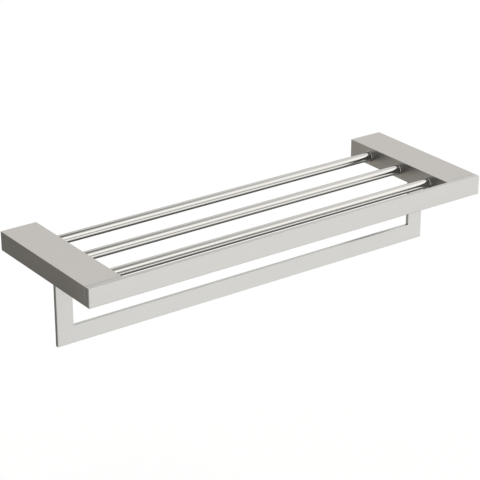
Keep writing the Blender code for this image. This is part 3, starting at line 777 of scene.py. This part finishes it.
def make_screw(name, foot, axis, head, shank, tail):
    """Head and tail are turned, the shank between them is threaded. All lie along the axis
    from the foot, which is the middle of the head's outer face."""
    axis = np.array(axis, float)
    first = np.cross(axis, (0, 0, 1) if axis[2] == 0 else (1, 0, 0))
    second = np.cross(axis, first)

    def place(radius, height, t):
        flat = np.cos(t)[..., None] * first + np.sin(t)[..., None] * second
        return foot + radius[..., None] * flat + height[..., None] * axis

    surfaces = [weave(place(*turned_rows(rows)), closed=True) for rows in (head, tail)]
    surfaces.append(weave(place(*thread(*shank))))
    make_piece(name + "_threaded", surfaces, screw_steel, name)


def make_set_screw(name, foot, length):
    """A headless screw, its outer end a ring round the socket, its inner end a cup point."""
    start, end = SCREW_TIP, length - 2 * SCREW_TIP
    head = socket(SET_KEY, SOCKET_SHARE * length)
    head += [(SET_RADIUS - SCREW_TIP, 0, 0), (SET_RADIUS, start, 0)]
    cup = [(SET_RADIUS, end, 0), (CUP_OUTER, length, 0), (CUP_INNER, length, 0), (0, length - CUP_DEPTH, 0)]
    make_screw(name, foot, (0, 0, 1), head, (SET_RADIUS, start, end, SET_PITCH), cup)


def make_cap_screw(name, seat, length):
    """A screw with a round head whose upper edge is chamfered."""
    top = CAP_HEAD_HEIGHT
    start, end = top + CAP_NECK, top + length - SCREW_TIP
    head = socket(CAP_KEY, SOCKET_SHARE * top) + [
        (CAP_HEAD - SCREW_TIP, 0, 0), (CAP_HEAD, SCREW_TIP, 0), (CAP_HEAD, top, 0),
        (CAP_RADIUS, top, 0), (CAP_RADIUS, start, 0),
    ]
    tail = [(CAP_RADIUS, end, 0), (CAP_RADIUS - SCREW_TIP, top + length, 0), (0, top + length, 0)]
    foot = np.array(seat) + (0, top, 0)
    make_screw(name, foot, (0, -1, 0), head, (CAP_RADIUS, start, end, CAP_PITCH), tail)


def make_sunk_screw(name, foot):
    """A countersunk screw, its head flush with the housing's underside."""
    cone = SUNK_HEAD - SUNK_RADIUS
    start, end = cone + SUNK_NECK, SUNK_LENGTH - SCREW_TIP
    head = socket(SUNK_KEY, SUNK_SOCKET_SHARE * SUNK_LENGTH) + [
        (SUNK_HEAD - SUNK_RIM, 0, 0), (SUNK_HEAD, SUNK_RIM, 0),
        (SUNK_RADIUS, cone, 0), (SUNK_RADIUS, start, 0),
    ]
    tail = [(SUNK_RADIUS, end, 0), (SUNK_RADIUS - SCREW_TIP, SUNK_LENGTH, 0), (0, SUNK_LENGTH, 0)]
    make_screw(name, foot, (0, 0, 1), head, (SUNK_RADIUS, start, end, SUNK_PITCH), tail)


for word, side in SIDES.items():
    for place, distance in ROD_DISTANCES.items():
        foot = np.array((side * ROD_SCREW_AT, -distance, SET_BOTTOM))
        make_set_screw("_".join((word, place, "rod_screw")), foot, ROD_SCREW_LENGTH)
    for place, distance in CARRIER_SCREW_DISTANCES.items():
        foot = np.array((side * CARRIER_SCREW_AT, -distance, HOUSING_HEIGHT[0]))
        make_sunk_screw("_".join((word, "carrier_screw", place)), foot)
    foot = np.array((side * HOUSING_MIDDLE, -MOUNT_DEPTH / 2, SET_BOTTOM))
    make_set_screw(word + "_mount_screw", foot, MOUNT_SCREW_LENGTH)
    for place, x in zip(("inner", "outer"), WALL_SCREWS):
        seat = (side * x, -RAIL_SCREW_SEAT, 0)
        make_cap_screw("_".join((word, "rail_screw", place)), seat, RAIL_SCREW_LENGTH)
    seat = (side * LOCK_SCREW_AT, -LOCK_SCREW_SEAT, LOCK_SCREW_HEIGHT)
    make_cap_screw(word + "_lock_screw", seat, LOCK_SCREW_LENGTH)
    for place in ROD_DISTANCES:
        dress("_".join((word, place, "rod_plug")), screw_steel)

# Studio
# A pale floor well below the rack, white to the camera but for the rack's soft shadow, and a
# studio of soft white panels with dark gaps between them, which the metal mirrors.
FLOOR_LEVEL = -0.62
FLOOR_HALF = 30
FLOOR_PAINT, FLOOR_GLOW = (0.62, 0.62, 0.615), (0.40, 0.40, 0.40)
LAMP_LEVEL, LAMP_SPREAD, LAMP_TILT, LAMP_TURN = 0.25, 30, 38, 35
ROOM_LIGHT = (0.92, 0.92, 0.92)
STUDIO_PLACES = (-0.62, -0.50, 0.0, 0.42, 0.62)
STUDIO_TINTS = ((1, 0.95, 0.865), (1, 0.94, 0.845), (1, 0.985, 0.96), (1, 0.985, 0.96), (1, 0.985, 0.96))
# A row is a direction round the rack, in degrees from the front horizon over the top to the
# back and on to straight down, and the light level there at each of the places along it.
STUDIO_PANELS = (
    (-90, 0.00, 0.00, 0.00, 0.10, 0.15),
    (-62, 0.05, 0.05, 0.00, 0.10, 0.12),
    (-33, 0.08, 0.05, 0.00, 1.10, 1.35),
    (-20, 0.08, 0.05, 0.00, 1.25, 1.05),
    (-8, 0.08, 0.05, 0.00, 1.05, 0.60),
    (3, 0.08, 0.05, 0.05, 1.00, 0.50),
    (38, 0.05, 0.05, 0.15, 1.45, 1.25),
    (50, 0.05, 0.05, 0.20, 1.15, 1.40),
    (74, 0.02, 0.02, 0.45, 0.05, 1.25),
    (100, 0.00, 0.05, 0.75, 0.00, 0.90),
    (133, 0.00, 0.05, 1.00, 0.80, 0.90),
    (143, 0.00, 0.05, 0.90, 0.80, 0.90),
    (155, 0.05, 0.05, 0.60, 0.80, 0.80),
    (180, 0.55, 0.25, 0.50, 0.50, 0.45),
    (207, 0.50, 0.00, 0.40, 0.20, 0.20),
    (240, 0.05, 0.00, 0.00, 0.08, 0.12),
    (270, 0.00, 0.00, 0.00, 0.10, 0.15),
)
STUDIO_ENDS = ((1.0, 0.98, 0.95), (0.5, 0.49, 0.475))
STUDIO_END_FROM, STUDIO_END_FULL = 0.8, 0.9


def make_floor():
    """A flat square sheet."""
    mesh = bpy.data.meshes.new("studio_floor")
    corners = [(x * FLOOR_HALF, y * FLOOR_HALF, FLOOR_LEVEL) for x, y in ((-1, -1), (1, -1), (1, 1), (-1, 1))]
    mesh.from_pydata(corners, [], [(0, 1, 2, 3)])
    floor = bpy.data.objects.new("studio_floor", mesh)
    bpy.context.scene.collection.objects.link(floor)
    material = bpy.data.materials.new("studio_floor_paint")
    material.use_nodes = True
    tree = material.node_tree
    paint = tree.nodes["Principled BSDF"]
    paint.inputs["Base Color"].default_value = (*FLOOR_PAINT, 1)
    paint.inputs["Roughness"].default_value = 0.9
    paint.inputs["Specular IOR Level"].default_value = 0
    seen = add_node(tree, "LightPath").outputs["Is Camera Ray"]
    glow = add_node(tree, "Emission", {"Strength": seen, "Color": (*FLOOR_GLOW, 1)})
    both = add_node(tree, "AddShader", {0: paint.outputs[0], 1: glow.outputs[0]})
    tree.links.new(both.outputs[0], tree.nodes["Material Output"].inputs["Surface"])
    mesh.materials.append(material)
    floor.visible_glossy = False


def ring(tree, angle, levels, tint):
    """The panels round the rack at one place along it, as a ramp over the angle."""
    ramp = add_node(tree, "ValToRGB", {"Fac": angle})
    stops = ramp.color_ramp.elements
    stops.remove(stops[1])
    for number, ((turn, *_), level) in enumerate(zip(STUDIO_PANELS, levels)):
        stop = stops.new((turn + 90) / 360) if number else stops[0]
        stop.color = (*(level * share for share in tint), 1)
    return ramp.outputs["Color"]


def make_world():
    """White to the camera and through glass. Metal mirrors the studio: x is how far a direction
    leans along the rack, and the angle round it, as a share of a turn, is atan2(y, z) / (2 pi)
    + 0.5, which begins and ends straight down."""
    world = bpy.data.worlds.new("studio")
    bpy.context.scene.world = world
    world.use_nodes = True
    tree = world.node_tree
    direction = add_node(tree, "TexCoord").outputs["Generated"]
    x, y, z = add_node(tree, "SeparateXYZ", {"Vector": direction}).outputs
    turn = add_node(tree, "Math", {0: y, 1: z}, operation="ARCTAN2").outputs[0]
    angle = add_node(tree, "Math", {0: turn, 1: 1 / (2 * pi), 2: 0.5}, operation="MULTIPLY_ADD").outputs[0]
    levels = np.array(STUDIO_PANELS)[:, 1:].T
    rings = [ring(tree, angle, row, tint) for row, tint in zip(levels, STUDIO_TINTS)]
    mirrored = rings[0]
    for start, end, colour in zip(STUDIO_PLACES, STUDIO_PLACES[1:], rings[1:]):
        share = add_node(tree, "MapRange", {"Value": x, "From Min": start, "From Max": end}).outputs[0]
        mirrored = blend(tree, mirrored, colour, share)
    for side, colour in zip((-1, 1), STUDIO_ENDS):
        low, high = side * STUDIO_END_FROM, side * STUDIO_END_FULL
        share = add_node(tree, "MapRange", {"Value": x, "From Min": low, "From Max": high}).outputs[0]
        mirrored = blend(tree, mirrored, (*colour, 1), share)
    rays = add_node(tree, "LightPath").outputs
    straight = {0: rays["Is Camera Ray"], 1: rays["Is Transmission Ray"]}
    white = add_node(tree, "Math", straight, operation="MAXIMUM").outputs[0]
    seen = blend(tree, (*ROOM_LIGHT, 1), mirrored, rays["Is Glossy Ray"])
    seen = blend(tree, seen, (1, 1, 1, 1), white)
    tree.links.new(seen, tree.nodes["Background"].inputs["Color"])


def make_lamp():
    """A soft sun from the front right, for the floor's shadow alone."""
    lamp = bpy.data.lights.new("key_lamp", "SUN")
    lamp.energy, lamp.angle = LAMP_LEVEL, radians(LAMP_SPREAD)
    made = bpy.data.objects.new("key_lamp", lamp)
    made.rotation_euler = (radians(LAMP_TILT), 0, radians(LAMP_TURN))
    made.visible_glossy = False
    bpy.context.scene.collection.objects.link(made)


make_floor()
make_world()
make_lamp()

# Camera
# At the photograph's viewing angle, with a long lens: turned 35.8 degrees to the rack's left
# and 23.6 degrees above it.
CAMERA_PLACE = (-1.24705, -1.81353, 0.88462)
CAMERA_RISE, CAMERA_TURN = 23.575, 35.787
CAMERA_LENS, CAMERA_SENSOR = 135.49, 36

camera = bpy.data.cameras.new("camera")
camera.lens, camera.sensor_width = CAMERA_LENS, CAMERA_SENSOR
camera_object = bpy.data.objects.new("camera", camera)
camera_object.location = CAMERA_PLACE
camera_object.rotation_euler = (radians(90 - CAMERA_RISE), 0, radians(-CAMERA_TURN))
bpy.context.scene.collection.objects.link(camera_object)
bpy.context.scene.camera = camera_object
bpy.context.scene.view_settings.view_transform = "Standard"

bpy.context.view_layer.update()
